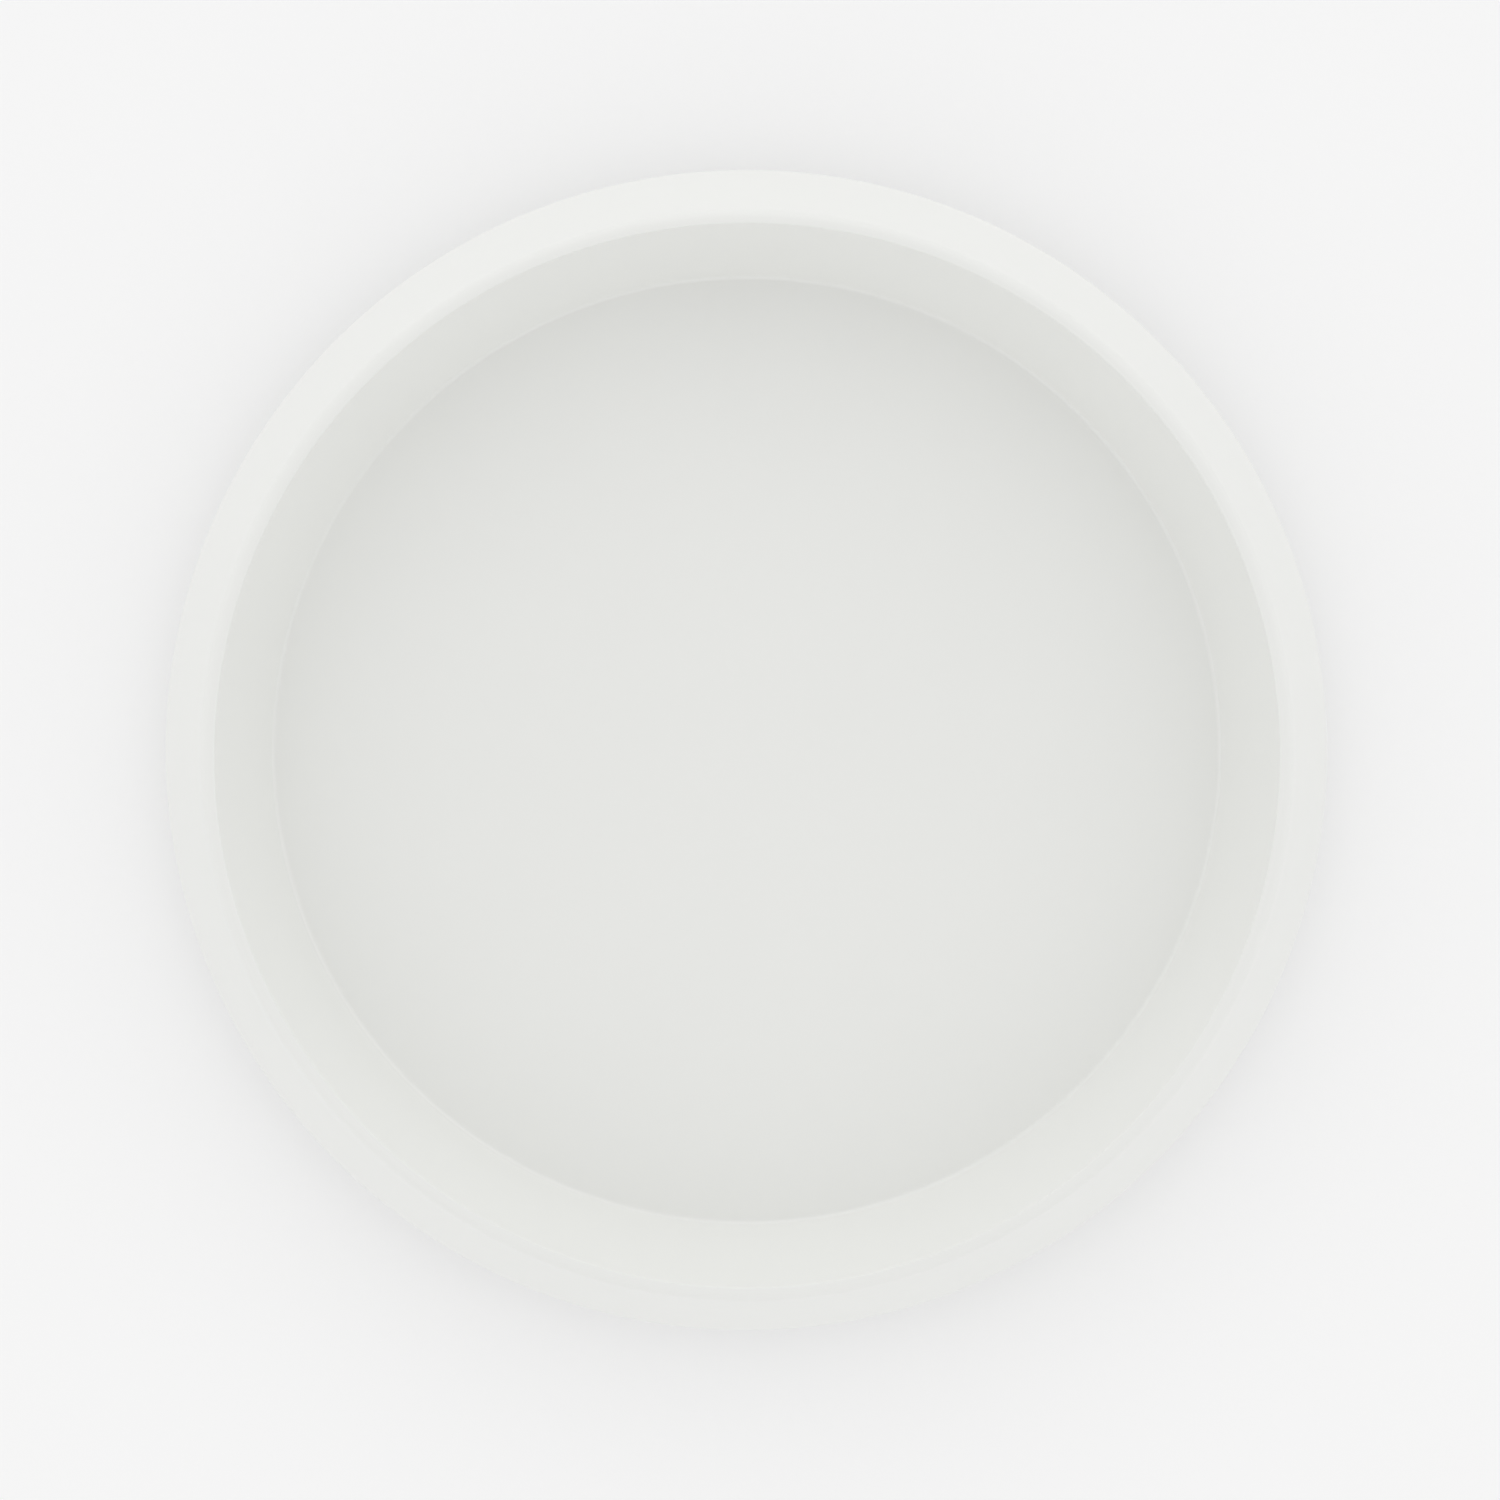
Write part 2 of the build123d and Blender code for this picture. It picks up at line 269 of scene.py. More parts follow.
# ---------------------------------------------------------------- meshes
def finished(mesh_data, name):
    """An object from a bmesh, smooth-shaded, with edges sharper than SHARP_ANGLE kept crisp."""
    bmesh.ops.remove_doubles(mesh_data, verts=mesh_data.verts, dist=TOUCHING)
    bmesh.ops.recalc_face_normals(mesh_data, faces=mesh_data.faces)
    for face in mesh_data.faces:
        face.smooth = True
    for edge in mesh_data.edges:
        edge.smooth = len(edge.link_faces) == 2 and edge.calc_face_angle() < SHARP_ANGLE
    mesh = bpy.data.meshes.new(name)
    mesh_data.to_mesh(mesh)
    mesh_data.free()
    piece = bpy.data.objects.new(name, mesh)
    bpy.context.scene.collection.objects.link(piece)
    return piece


def even_shading(piece):
    """Flat faces keep flat normals and roundings blend into them."""
    modifier = piece.modifiers.new("even_shading", "WEIGHTED_NORMAL")
    modifier.weight = 100
    modifier.keep_sharp = True


def turned_mesh(points, around, closed=True):
    """A bmesh turned about Z from outline points; points on the axis become one vertex."""
    made = bmesh.new()
    rings = []
    for radius, height in points:
        if radius < TOUCHING:
            rings.append([made.verts.new((0, 0, height))])
        else:
            angles = [2 * math.pi * n / around for n in range(around)]
            spots = [(radius * math.cos(a), radius * math.sin(a), height) for a in angles]
            rings.append([made.verts.new(s) for s in spots])
    pairs = list(zip(rings, rings[1:]))
    if closed:
        pairs.append((rings[-1], rings[0]))
    for lower, upper in pairs:
        for n in range(around):
            m = (n + 1) % around
            corners = [lower[n % len(lower)], lower[m % len(lower)]]
            corners += [upper[m % len(upper)], upper[n % len(upper)]]
            corners = list(dict.fromkeys(corners))
            if len(corners) > 2:
                made.faces.new(corners)
    return made


def turned(name, corners, around=AROUND_SMALL, closed=True):
    """A turned piece from (radius, height, rounding) corners."""
    points = divided(outline(corners, closed), closed)
    return finished(turned_mesh(points, around, closed), name)


def slab_mesh(points, thickness, soft_below=None):
    """A flat web: an outline in the (radius, height) plane, with its edges below a height rounded."""
    made = bmesh.new()
    front = [made.verts.new((r, -thickness / 2, z)) for r, z in points]
    back = [made.verts.new((r, thickness / 2, z)) for r, z in points]
    made.faces.new(front)
    made.faces.new(back[::-1])
    for n in range(len(points)):
        m = (n + 1) % len(points)
        made.faces.new([front[m], front[n], back[n], back[m]])
    if soft_below is not None:
        soft = [
            e for e in made.edges
            if all(v.co.z < soft_below for v in e.verts)
            and abs(e.verts[0].co.y - e.verts[1].co.y) < thickness / 2
        ]
        bmesh.ops.bevel(made, geom=soft, offset=SOFT_EDGE, segments=3, affect="EDGES", profile=0.5)
    return made


def bar_mesh(inner, outer, bottom, top):
    """A straight rib along +X with its lower edges rounded."""
    points = [(inner, bottom), (outer, bottom), (outer, top), (inner, top)]
    return slab_mesh(points, RIB_THICKNESS, soft_below=(bottom + top) / 2)


def turn_about_axis(mesh_data, vertices, angle):
    """Turns some vertices of a bmesh about the Z axis."""
    matrix = Matrix.Rotation(angle, 3, AXIS)
    bmesh.ops.rotate(mesh_data, verts=vertices, cent=(0, 0, 0), matrix=matrix)


def gathered(name, meshes, angles):
    """One object from bmeshes, each copied at every one of the angles about Z."""
    whole = bmesh.new()
    for one in meshes:
        flat = bpy.data.meshes.new(name)
        one.to_mesh(flat)
        one.free()
        for angle in angles:
            first = len(whole.verts)
            whole.from_mesh(flat)
            whole.verts.ensure_lookup_table()
            turn_about_axis(whole, whole.verts[first:], angle)
        bpy.data.meshes.remove(flat)
    return finished(whole, name)


def turns(count, first=0.0):
    """Evenly spaced angles about the axis."""
    return [first + 2 * math.pi * n / count for n in range(count)]


def cut(piece, cutter):
    """Cuts one object's shape out of another and removes the cutter."""
    modifier = piece.modifiers.new("cut", "BOOLEAN")
    modifier.operation = "DIFFERENCE"
    modifier.solver = "EXACT"
    modifier.object = cutter
    graph = bpy.context.evaluated_depsgraph_get()
    result = bmesh.new()
    result.from_mesh(bpy.data.meshes.new_from_object(piece.evaluated_get(graph)))
    name = piece.name
    bpy.data.objects.remove(piece)
    bpy.data.objects.remove(cutter)
    return finished(result, name)


def placed(piece, body, slot, material, *nodes):
    """Gives a piece its body and material, and hides the CAD nodes that it stands for; the slot
    argument is not used.
    """
    even_shading(piece)
    piece.data.materials.clear()
    piece.data.materials.append(material)
    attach(piece, body)
    if nodes:
        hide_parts(*nodes)


# ---------------------------------------------------------------- tray
def wall_line(height, depth):
    """Radius of the bowl wall at a height, at a depth behind the face inside the bowl."""
    return FLOOR_RADIUS + depth * math.hypot(1, WALL_SLOPE) + (height - FLOOR_TOP) * WALL_SLOPE


def skirt_line(height, depth):
    """Radius of the outer skirt at a height, at a depth behind its outside face."""
    return CREST_OUTER - depth * math.hypot(1, SKIRT_SLOPE) + (CREST_HEIGHT - height) * SKIRT_SLOPE


def apex_height(depth):
    """Height where wall and skirt meet inside the hollow rim."""
    gap = skirt_line(FLOOR_TOP, depth) - wall_line(FLOOR_TOP, depth)
    return FLOOR_TOP + gap / (WALL_SLOPE + SKIRT_SLOPE)


def tray_skin():
    """Floor, leaning wall, rounded crest and downturned skirt in one even skin."""
    apex = apex_height(SHELL)
    band_inner = RIM_RADIUS - SHELL
    skirt_foot = CREST_HEIGHT - (band_inner - skirt_line(CREST_HEIGHT, SHELL)) / SKIRT_SLOPE
    corners = [
        (0, FLOOR_UNDER, 0),
        (wall_line(FLOOR_UNDER, SHELL), FLOOR_UNDER, FLOOR_CORNER_ROUND + SHELL),
        (wall_line(apex, SHELL), apex, HOLLOW_RIM_ROUND),
        (band_inner, skirt_foot, BAND_ROUND),
        (band_inner, FINGER_BAND_FOOT, EDGE_ROUND),
        (RIM_RADIUS, FINGER_BAND_FOOT, EDGE_ROUND),
        (RIM_RADIUS, FINGER_BAND_TOP, BAND_ROUND),
        (CREST_OUTER, CREST_HEIGHT, CREST_OUTER_ROUND),
        (CREST_INNER, CREST_HEIGHT, CREST_INNER_ROUND),
        (FLOOR_RADIUS, FLOOR_TOP, FLOOR_CORNER_ROUND),
        (0, FLOOR_TOP, 0),
    ]
    return turned("tray_skin", corners, AROUND_LARGE, closed=False)


def tray_floor_ribs():
    """Radial ribs under the tray floor, inside and outside the ball race."""
    race_inner = BALL_CIRCLE - UPPER_RACE_WIDTH / 2
    race_outer = BALL_CIRCLE + UPPER_RACE_WIDTH / 2
    inside_floor = FLOOR_UNDER + WELD
    bars = [
        bar_mesh(TRAY_HUB_RING - WELD, race_inner + WELD, TRAY_RIB_FOOT, inside_floor),
        bar_mesh(race_outer - WELD, FLOOR_RADIUS, TRAY_RIB_FOOT, inside_floor),
    ]
    return gathered("tray_floor_ribs", bars, turns(RIBS))


def groove_points(centre_height, face, upward):
    """The round bottom of a ball groove, between its two edges on a flat face."""
    centre = Vector((BALL_CIRCLE, centre_height))
    half = math.acos(abs(face - centre_height) / GROOVE_RADIUS)
    middle = math.pi / 2 if upward else -math.pi / 2
    return arc(centre, GROOVE_RADIUS, middle - half, middle + half)


def upper_race():
    """The ring under the tray with the upper ball groove."""
    inner = BALL_CIRCLE - UPPER_RACE_WIDTH / 2
    outer = BALL_CIRCLE + UPPER_RACE_WIDTH / 2
    points = groove_points(BALL_HEIGHT - GROOVE_OFFSET, UPPER_RACE_FACE, upward=True)
    ends = [
        (inner, UPPER_RACE_FACE, SOFT_EDGE),
        (inner, UPPER_RACE_TOP, 0),
        (outer, UPPER_RACE_TOP, 0),
        (outer, UPPER_RACE_FACE, SOFT_EDGE),
    ]
    block = outline([(points[0].x, UPPER_RACE_FACE, 0), *reversed(ends)])
    return finished(turned_mesh(points[1:] + block, AROUND_LARGE), "tray_ball_race")


def tray_hub():
    """The centre post with its screw hole, and the ring rib around it."""
    inside_floor = FLOOR_UNDER + WELD
    ring_inner = TRAY_HUB_RING - RIB_THICKNESS
    post = outline(
        [
            (0, SCREW_HOLE_TOP, 0),
            (SCREW_RADIUS, SCREW_HOLE_TOP, 0),
            (SCREW_RADIUS, POST_FOOT, 0),
            (POST_RADIUS, POST_FOOT, SOFT_EDGE),
            (POST_RADIUS, inside_floor, 0),
            (0, inside_floor, 0),
        ],
        closed=False,
    )
    ring = outline(
        [
            (ring_inner, TRAY_RIB_FOOT, SOFT_EDGE),
            (TRAY_HUB_RING, TRAY_RIB_FOOT, SOFT_EDGE),
            (TRAY_HUB_RING, inside_floor, 0),
            (ring_inner, inside_floor, 0),
        ]
    )
    meshes = [turned_mesh(post, AROUND_SMALL, closed=False), turned_mesh(ring, AROUND_SMALL)]
    return gathered("tray_hub", meshes, [0.0])


# ---------------------------------------------------------------- base
def base_skin():
    """Hub, top plate with the lower ball groove, and the outer rim."""
    channel_inner = BALL_CIRCLE - RACE_CHANNEL_WIDTH / 2
    channel_outer = BALL_CIRCLE + RACE_CHANNEL_WIDTH / 2
    backing_inner = BALL_CIRCLE - RACE_BACKING_WIDTH / 2
    backing_outer = BALL_CIRCLE + RACE_BACKING_WIDTH / 2
    rim_inner = BASE_RADIUS - BASE_RIM_THICKNESS
    well_outer = WELL_RADIUS + RIB_THICKNESS
    groove = groove_points(BALL_HEIGHT + GROOVE_OFFSET, LOWER_RACE_FACE, upward=False)
    outside = outline(
        [
            (channel_inner, LOWER_RACE_FACE, SOFT_EDGE),
            (channel_inner, BASE_TOP, SOFT_EDGE),
            (HUB_RADIUS, BASE_TOP, SOFT_EDGE),
            (HUB_RADIUS, HUB_TOP, EDGE_ROUND),
            (BUSHING_RADIUS, HUB_TOP, 0),
            (BUSHING_RADIUS, HUB_UNDER, 0),
            (WELL_RADIUS, HUB_UNDER, 0),
            (WELL_RADIUS, BASE_RIB_FOOT, SOFT_EDGE),
            (well_outer, BASE_RIB_FOOT, SOFT_EDGE),
            (well_outer, BASE_PLATE_UNDER, SOFT_EDGE),
            (backing_inner, BASE_PLATE_UNDER, SOFT_EDGE),
            (backing_inner, RACE_BACKING_UNDER, SOFT_EDGE),
            (backing_outer, RACE_BACKING_UNDER, SOFT_EDGE),
            (backing_outer, BASE_PLATE_UNDER, SOFT_EDGE),
            (rim_inner, BASE_PLATE_UNDER, SOFT_EDGE),
            (rim_inner, BASE_RIM_FOOT, EDGE_ROUND),
            (BASE_RADIUS, BASE_RIM_FOOT, EDGE_ROUND),
            (BASE_RADIUS, BASE_TOP, BASE_RIM_ROUND),
            (channel_outer, BASE_TOP, SOFT_EDGE),
            (channel_outer, LOWER_RACE_FACE, SOFT_EDGE),
            (groove[-1].x, LOWER_RACE_FACE, 0),
        ]
    )
    points = divided(outside[:-1] + groove[::-1])
    return finished(turned_mesh(points, AROUND_LARGE), "base_skin")


def base_ribs():
    """Radial ribs under the base, broken at the feet, and the ring rib that joins them."""
    rim_inner = BASE_RADIUS - BASE_RIM_THICKNESS
    well_outer = WELL_RADIUS + RIB_THICKNESS
    wall = (FOOT_BOSS_RADIUS + FOOT_SEAT_RADIUS) / 2
    inward = bar_mesh(well_outer - WELD, FOOT_CIRCLE - wall, BASE_RIB_FOOT, BASE_RIB_TOP)
    outward = bar_mesh(FOOT_CIRCLE + wall, rim_inner + WELD, BASE_RIB_FOOT, BASE_RIB_TOP)
    whole = bar_mesh(well_outer - WELD, rim_inner + WELD, BASE_RIB_FOOT, BASE_RIB_TOP)
    broken = gathered("base_ribs_at_feet", [inward, outward], turns(FEET))
    unbroken = gathered("base_ribs_between_feet", [whole], turns(FEET, math.pi / FEET))
    ring = turned(
        "base_ring_rib",
        [
            (BASE_RING_RIB, BASE_RIB_FOOT, SOFT_EDGE),
            (BASE_RING_RIB + RIB_THICKNESS, BASE_RIB_FOOT, SOFT_EDGE),
            (BASE_RING_RIB + RIB_THICKNESS, BASE_RIB_TOP, 0),
            (BASE_RING_RIB, BASE_RIB_TOP, 0),
        ],
        AROUND_LARGE,
    )
    return [broken, unbroken, ring]


def foot_seats():
    """The round bosses that hold the feet, each with a cross of ribs behind its foot."""
    top = BASE_PLATE_UNDER + WELD
    boss = outline(
        [
            (FOOT_SEAT_RADIUS, BASE_RIM_FOOT, SOFT_EDGE),
            (FOOT_BOSS_RADIUS, BASE_RIM_FOOT, SOFT_EDGE),
            (FOOT_BOSS_RADIUS, top, 0),
            (FOOT_SEAT_RADIUS, top, 0),
        ]
    )
    reach = FOOT_SEAT_RADIUS + WELD / 2
    tube = turned_mesh(boss, AROUND_SMALL)
    bars = [bar_mesh(-reach, reach, FOOT_HEIGHT, top) for _ in range(2)]
    turn_about_axis(bars[1], bars[1].verts, math.pi / 2)
    for one in [tube, *bars]:
        bmesh.ops.translate(one, verts=one.verts, vec=(FOOT_CIRCLE, 0, 0))
    return gathered("base_foot_seats", [tube, *bars], turns(FEET))


# ---------------------------------------------------------------- pivot, bearing and feet
def bushing():
    """The flanged plain bushing in the hub of the base."""
    return turned(
        "pivot_bushing_turned",
        [
            (BUSHING_BORE, BUSHING_LOW.z, SOFT_EDGE),
            (BUSHING_RADIUS, BUSHING_LOW.z, 0),
            (BUSHING_RADIUS, HUB_TOP, 0),
            (BUSHING_HIGH.x, HUB_TOP, 0),
            (BUSHING_HIGH.x, BUSHING_HIGH.z, SOFT_EDGE),
            (BUSHING_BORE, BUSHING_HIGH.z, SOFT_EDGE),
        ],
    )


def washer(name, low, high, bore, rounding):
    """A flat washer with slightly rounded edges."""
    return turned(
        name,
        [
            (bore, low.z, rounding),
            (high.x, low.z, rounding),
            (high.x, high.z, rounding),
            (bore, high.z, rounding),
        ],
    )


def recess_blade(angle):
    """One tapered blade of the driver that leaves the cross recess, turned about the axis."""
    below = SCREW_LOW.z - WELD
    floor = SCREW_LOW.z + RECESS_DEPTH
    points = [(-RECESS_MOUTH / 2, below), (RECESS_MOUTH / 2, below)]
    points += [(RECESS_FLOOR / 2, floor), (-RECESS_FLOOR / 2, floor)]
    return gathered("recess_blade", [slab_mesh(points, RECESS_WIDTH)], [angle])


def screw_head():
    """The domed head of the pivot screw with its cross recess."""
    head_top = CLAMP_LOW.z
    head = turned(
        "pivot_screw_head",
        [
            (0, SCREW_LOW.z, 0),
            (SCREW_HIGH.x, SCREW_LOW.z, SCREW_HEAD_ROUND),
            (SCREW_HIGH.x, head_top, SCREW_HEAD_EDGE),
            (0, head_top, 0),
        ],
        closed=False,
    )
    for angle in (0, math.pi / 2):
        head = cut(head, recess_blade(angle))
    return head


def screw_thread():
    """The threaded shank: a core whose radius follows one helix and slims towards the point."""
    bottom = CLAMP_LOW.z - WELD
    top = SCREW_HIGH.z
    rings = math.ceil((top - bottom) / (THREAD_PITCH / RINGS_PER_THREAD))
    made = bmesh.new()
    grid = []
    for n in range(rings + 1):
        height = bottom + (top - bottom) * n / rings
        fullness = min(1.0, (top - height) / THREAD_RUN_OUT)
        slimming = 1 - POINT_SLIMMING * (1 - fullness)
        ring = []
        for m in range(AROUND_THREAD):
            angle = 2 * math.pi * m / AROUND_THREAD
            phase = (height / THREAD_PITCH - m / AROUND_THREAD) % 1.0
            ridge = max(0.0, 1 - abs(phase - 0.5) * 4)
            radius = (SCREW_RADIUS - THREAD_DEPTH * (1 - ridge * fullness)) * slimming
            ring.append(made.verts.new((radius * math.cos(angle), radius * math.sin(angle), height)))
        grid.append(ring)
    for lower, upper in zip(grid, grid[1:]):
        for m in range(AROUND_THREAD):
            k = (m + 1) % AROUND_THREAD
            made.faces.new([lower[m], lower[k], upper[k], upper[m]])
    made.faces.new(grid[0][::-1])
    made.faces.new(grid[-1])
    return finished(made, "pivot_screw_thread")


def round_ball(name, centre):
    """A steel ball as an even sphere made of six patches, so it has no poles."""
    made = bmesh.new()
    bmesh.ops.create_cube(made, size=2)
    bmesh.ops.subdivide_edges(made, edges=made.edges[:], cuts=BALL_CUTS, use_grid_fill=True)
    for vertex in made.verts:
        even = Vector([math.tan(c * math.pi / 4) for c in vertex.co])
        vertex.co = centre + even.normalized() * BALL_RADIUS
    return finished(made, name)


def ball_centre(n):
    """Centre of ball n on the ball circle."""
    angle = 2 * math.pi * n / BALLS
    return Vector((BALL_CIRCLE * math.cos(angle), BALL_CIRCLE * math.sin(angle), BALL_HEIGHT))


def cage():
    """The flat ring with a snap-over pocket for each ball."""
    half_width = CAGE_HIGH.x - BALL_CIRCLE
    ring = turned(
        "ball_cage_ring",
        [
            (BALL_CIRCLE - half_width, CAGE_LOW.z, SOFT_EDGE),
            (BALL_CIRCLE + half_width, CAGE_LOW.z, SOFT_EDGE),
            (BALL_CIRCLE + half_width, CAGE_HIGH.z, SOFT_EDGE),
            (BALL_CIRCLE - half_width, CAGE_HIGH.z, SOFT_EDGE),
        ],
        AROUND_LARGE,
    )
    pockets = bmesh.new()
    for n in range(BALLS):
        spot = Matrix.Translation(ball_centre(n))
        bmesh.ops.create_uvsphere(
            pockets, u_segments=48, v_segments=32, radius=POCKET_RADIUS, matrix=spot
        )
    return cut(ring, finished(pockets, "pocket_cutter"))


def rubber_foot(name, angle):
    """A soft foot with rounded edges and two grip grooves in its sole."""
    corners = [
        (0, FOOT_HEIGHT, 0),
        (FOOT_RADIUS, FOOT_HEIGHT, FOOT_TOP_ROUND),
        (FOOT_RADIUS, 0, FOOT_SOLE_ROUND),
    ]
    for inner in FOOT_GROOVE_RADII:
        outer = inner + FOOT_GROOVE_WIDTH
        groove = [(outer, 0), (outer, FOOT_GROOVE_DEPTH), (inner, FOOT_GROOVE_DEPTH), (inner, 0)]
        corners += [(r, z, FOOT_GROOVE_ROUND) for r, z in groove]
    corners.append((0, 0, 0))
    foot = turned(name, corners, closed=False)
    foot.data.transform(Matrix.Rotation(angle, 4, AXIS) @ Matrix.Translation((FOOT_CIRCLE, 0, 0)))
    return foot


# ---------------------------------------------------------------- materials
def new_material(name):
    """A node material and its shader."""
    material = bpy.data.materials.new(name)
    material.use_nodes = True
    return material, material.node_tree.nodes["Principled BSDF"]


def add(tree, kind, **values):
    """A node with its properties and unlinked inputs set by name."""
    node = tree.nodes.new(kind)
    for key, value in values.items():
        if hasattr(node, key):
            setattr(node, key, value)
        else:
            node.inputs[key.replace("_", " ").title()].default_value = value
    return node


def calculated(tree, operation, first, second):
    """The result of one step of arithmetic on two values, each a socket or a plain number."""
    node = add(tree, "ShaderNodeMath", operation=operation)
    for socket, value in zip(node.inputs, (first, second)):
        if isinstance(value, (int, float)):
            socket.default_value = value
        else:
            tree.links.new(value, socket)
    return node.outputs[0]


def noise(tree, coordinates, scale, detail=3.0, roughness=0.5):
    """Noise in object space; scale is in cells per metre."""
    node = add(tree, "ShaderNodeTexNoise", scale=scale, detail=detail)
    node.inputs["Roughness"].default_value = roughness
    tree.links.new(coordinates.outputs["Object"], node.inputs["Vector"])
    return node.outputs["Fac"]


def ranged(tree, value, low, high, from_low=0.0, from_high=1.0):
    """A value mapped from one range to another."""
    node = tree.nodes.new("ShaderNodeMapRange")
    node.inputs["From Min"].default_value = from_low
    node.inputs["From Max"].default_value = from_high
    node.inputs["To Min"].default_value = low
    node.inputs["To Max"].default_value = high
    tree.links.new(value, node.inputs["Value"])
    return node.outputs["Result"]


def tinted(tree, value, first, second):
    """A colour that runs from one to another with a value."""
    node = tree.nodes.new("ShaderNodeMix")
    node.data_type = "RGBA"
    node.inputs["A"].default_value = (*first, 1)
    node.inputs["B"].default_value = (*second, 1)
    tree.links.new(value, node.inputs["Factor"])
    return node.outputs["Result"]


def bumped(tree, value, strength, distance, below=None):
    """A bump of the given height in metres, laid over another bump."""
    node = tree.nodes.new("ShaderNodeBump")
    node.inputs["Strength"].default_value = strength
    node.inputs["Distance"].default_value = distance
    tree.links.new(value, node.inputs["Height"])
    if below is not None:
        tree.links.new(below, node.inputs["Normal"])
    return node.outputs["Normal"]


def scratches(tree, place, angle):
    """Sparse hair-fine scratches that run in one direction, from 0 for none to 1."""
    aligned = tree.nodes.new("ShaderNodeMapping")
    aligned.vector_type = "TEXTURE"
    aligned.inputs["Rotation"].default_value = (0, 0, angle)
    aligned.inputs["Scale"].default_value = (SCRATCH_LENGTH, SCRATCH_WIDTH, SCRATCH_LENGTH)
    tree.links.new(place.outputs["Object"], aligned.inputs["Vector"])
    streaks = add(tree, "ShaderNodeTexNoise", scale=1.0, detail=1.0)
    tree.links.new(aligned.outputs["Vector"], streaks.inputs["Vector"])
    return ranged(tree, streaks.outputs["Fac"], 0.0, 1.0, 0.66, 0.76)


def moulded_plastic(name, colour, roughness, grain):
    """Satin moulded polypropylene: fine eroded grain, faint flow mottling, rubs and light scratches."""
    material, shader = new_material(name)
    tree = material.node_tree
    place = tree.nodes.new("ShaderNodeTexCoord")
    mottling = noise(tree, place, scale=28, detail=2)
    fine = noise(tree, place, scale=2600, detail=2, roughness=0.6)
    waves = noise(tree, place, scale=45, detail=1)
    rubs = noise(tree, place, scale=160, detail=5, roughness=0.7)
    worn = calculated(tree, "ADD", *[scratches(tree, place, angle) for angle in SCRATCH_ANGLES])
    darker = tuple(c * 0.985 for c in colour)
    tree.links.new(tinted(tree, mottling, darker, colour), shader.inputs["Base Color"])
    sheen = ranged(tree, rubs, roughness - 0.05, roughness + 0.05, 0.3, 0.7)
    sheen = calculated(tree, "ADD", sheen, ranged(tree, worn, 0.0, 0.12))
    tree.links.new(sheen, shader.inputs["Roughness"])
    slow = bumped(tree, waves, 0.25, 0.04 * MM)
    fine_grain = bumped(tree, fine, grain, 0.02 * MM, slow)
    tree.links.new(bumped(tree, worn, 0.2, -0.01 * MM, fine_grain), shader.inputs["Normal"])
    shader.inputs["IOR"].default_value = POLYPROPYLENE_IOR
    return material


def ring_marks(tree, place, scale):
    """Concentric lathe or stamping marks about the turning axis."""
    node = add(tree, "ShaderNodeTexWave", scale=scale, distortion=1.5, detail=2.0)
    node.wave_type = "RINGS"
    node.rings_direction = "Z"
    tree.links.new(place.outputs["Object"], node.inputs["Vector"])
    return node.outputs["Fac"]


def natural_plastic(name, colour, roughness):
    """Smooth unpigmented engineering plastic with fine turning marks."""
    material, shader = new_material(name)
    tree = material.node_tree
    place = tree.nodes.new("ShaderNodeTexCoord")
    cloud = noise(tree, place, scale=90, detail=2)
    marks = ring_marks(tree, place, scale=1200)
    darker = tuple(c * 0.94 for c in colour)
    tree.links.new(tinted(tree, cloud, darker, colour), shader.inputs["Base Color"])
    tree.links.new(ranged(tree, cloud, roughness - 0.06, roughness + 0.06), shader.inputs["Roughness"])
    tree.links.new(bumped(tree, marks, 0.1, 0.01 * MM), shader.inputs["Normal"])
    shader.inputs["IOR"].default_value = NATURAL_PLASTIC_IOR
    return material


def zinc_steel(name, colour):
    """Bright zinc-plated steel: fine ring marks under a slightly cloudy plating."""
    material, shader = new_material(name)
    tree = material.node_tree
    place = tree.nodes.new("ShaderNodeTexCoord")
    cloud = noise(tree, place, scale=350, detail=4, roughness=0.6)
    marks = ring_marks(tree, place, scale=900)
    warm = (colour[0] * 1.04, colour[1], colour[2] * 0.92)
    tree.links.new(tinted(tree, cloud, colour, warm), shader.inputs["Base Color"])
    tree.links.new(ranged(tree, cloud, 0.24, 0.42, 0.3, 0.7), shader.inputs["Roughness"])
    tree.links.new(bumped(tree, marks, 0.15, 0.01 * MM), shader.inputs["Normal"])
    shader.inputs["Metallic"].default_value = 1.0
    return material


def bearing_steel():
    """Polished ball steel with a trace of running marks."""
    material, shader = new_material("polished_bearing_steel")
    tree = material.node_tree
    place = tree.nodes.new("ShaderNodeTexCoord")
    tracks = noise(tree, place, scale=1400, detail=3, roughness=0.6)
    colour = tinted(tree, tracks, BALL_STEEL_DULL, BALL_STEEL_BRIGHT)
    tree.links.new(colour, shader.inputs["Base Color"])
    tree.links.new(ranged(tree, tracks, 0.08, 0.2, 0.35, 0.65), shader.inputs["Roughness"])
    shader.inputs["Metallic"].default_value = 1.0
    return material


def soft_rubber():
    """Matte grey rubber with a fine pitted skin and a little dust."""
    material, shader = new_material("soft_grey_rubber")
    tree = material.node_tree
    place = tree.nodes.new("ShaderNodeTexCoord")
    dust = noise(tree, place, scale=500, detail=4, roughness=0.65)
    pits = noise(tree, place, scale=4000, detail=2)
    tree.links.new(tinted(tree, dust, RUBBER_CLEAN, RUBBER_DUSTY), shader.inputs["Base Color"])
    tree.links.new(ranged(tree, dust, 0.72, 0.9), shader.inputs["Roughness"])
    tree.links.new(bumped(tree, pits, 0.3, 0.03 * MM), shader.inputs["Normal"])
    shader.inputs["Specular IOR Level"].default_value = 0.3
    return material


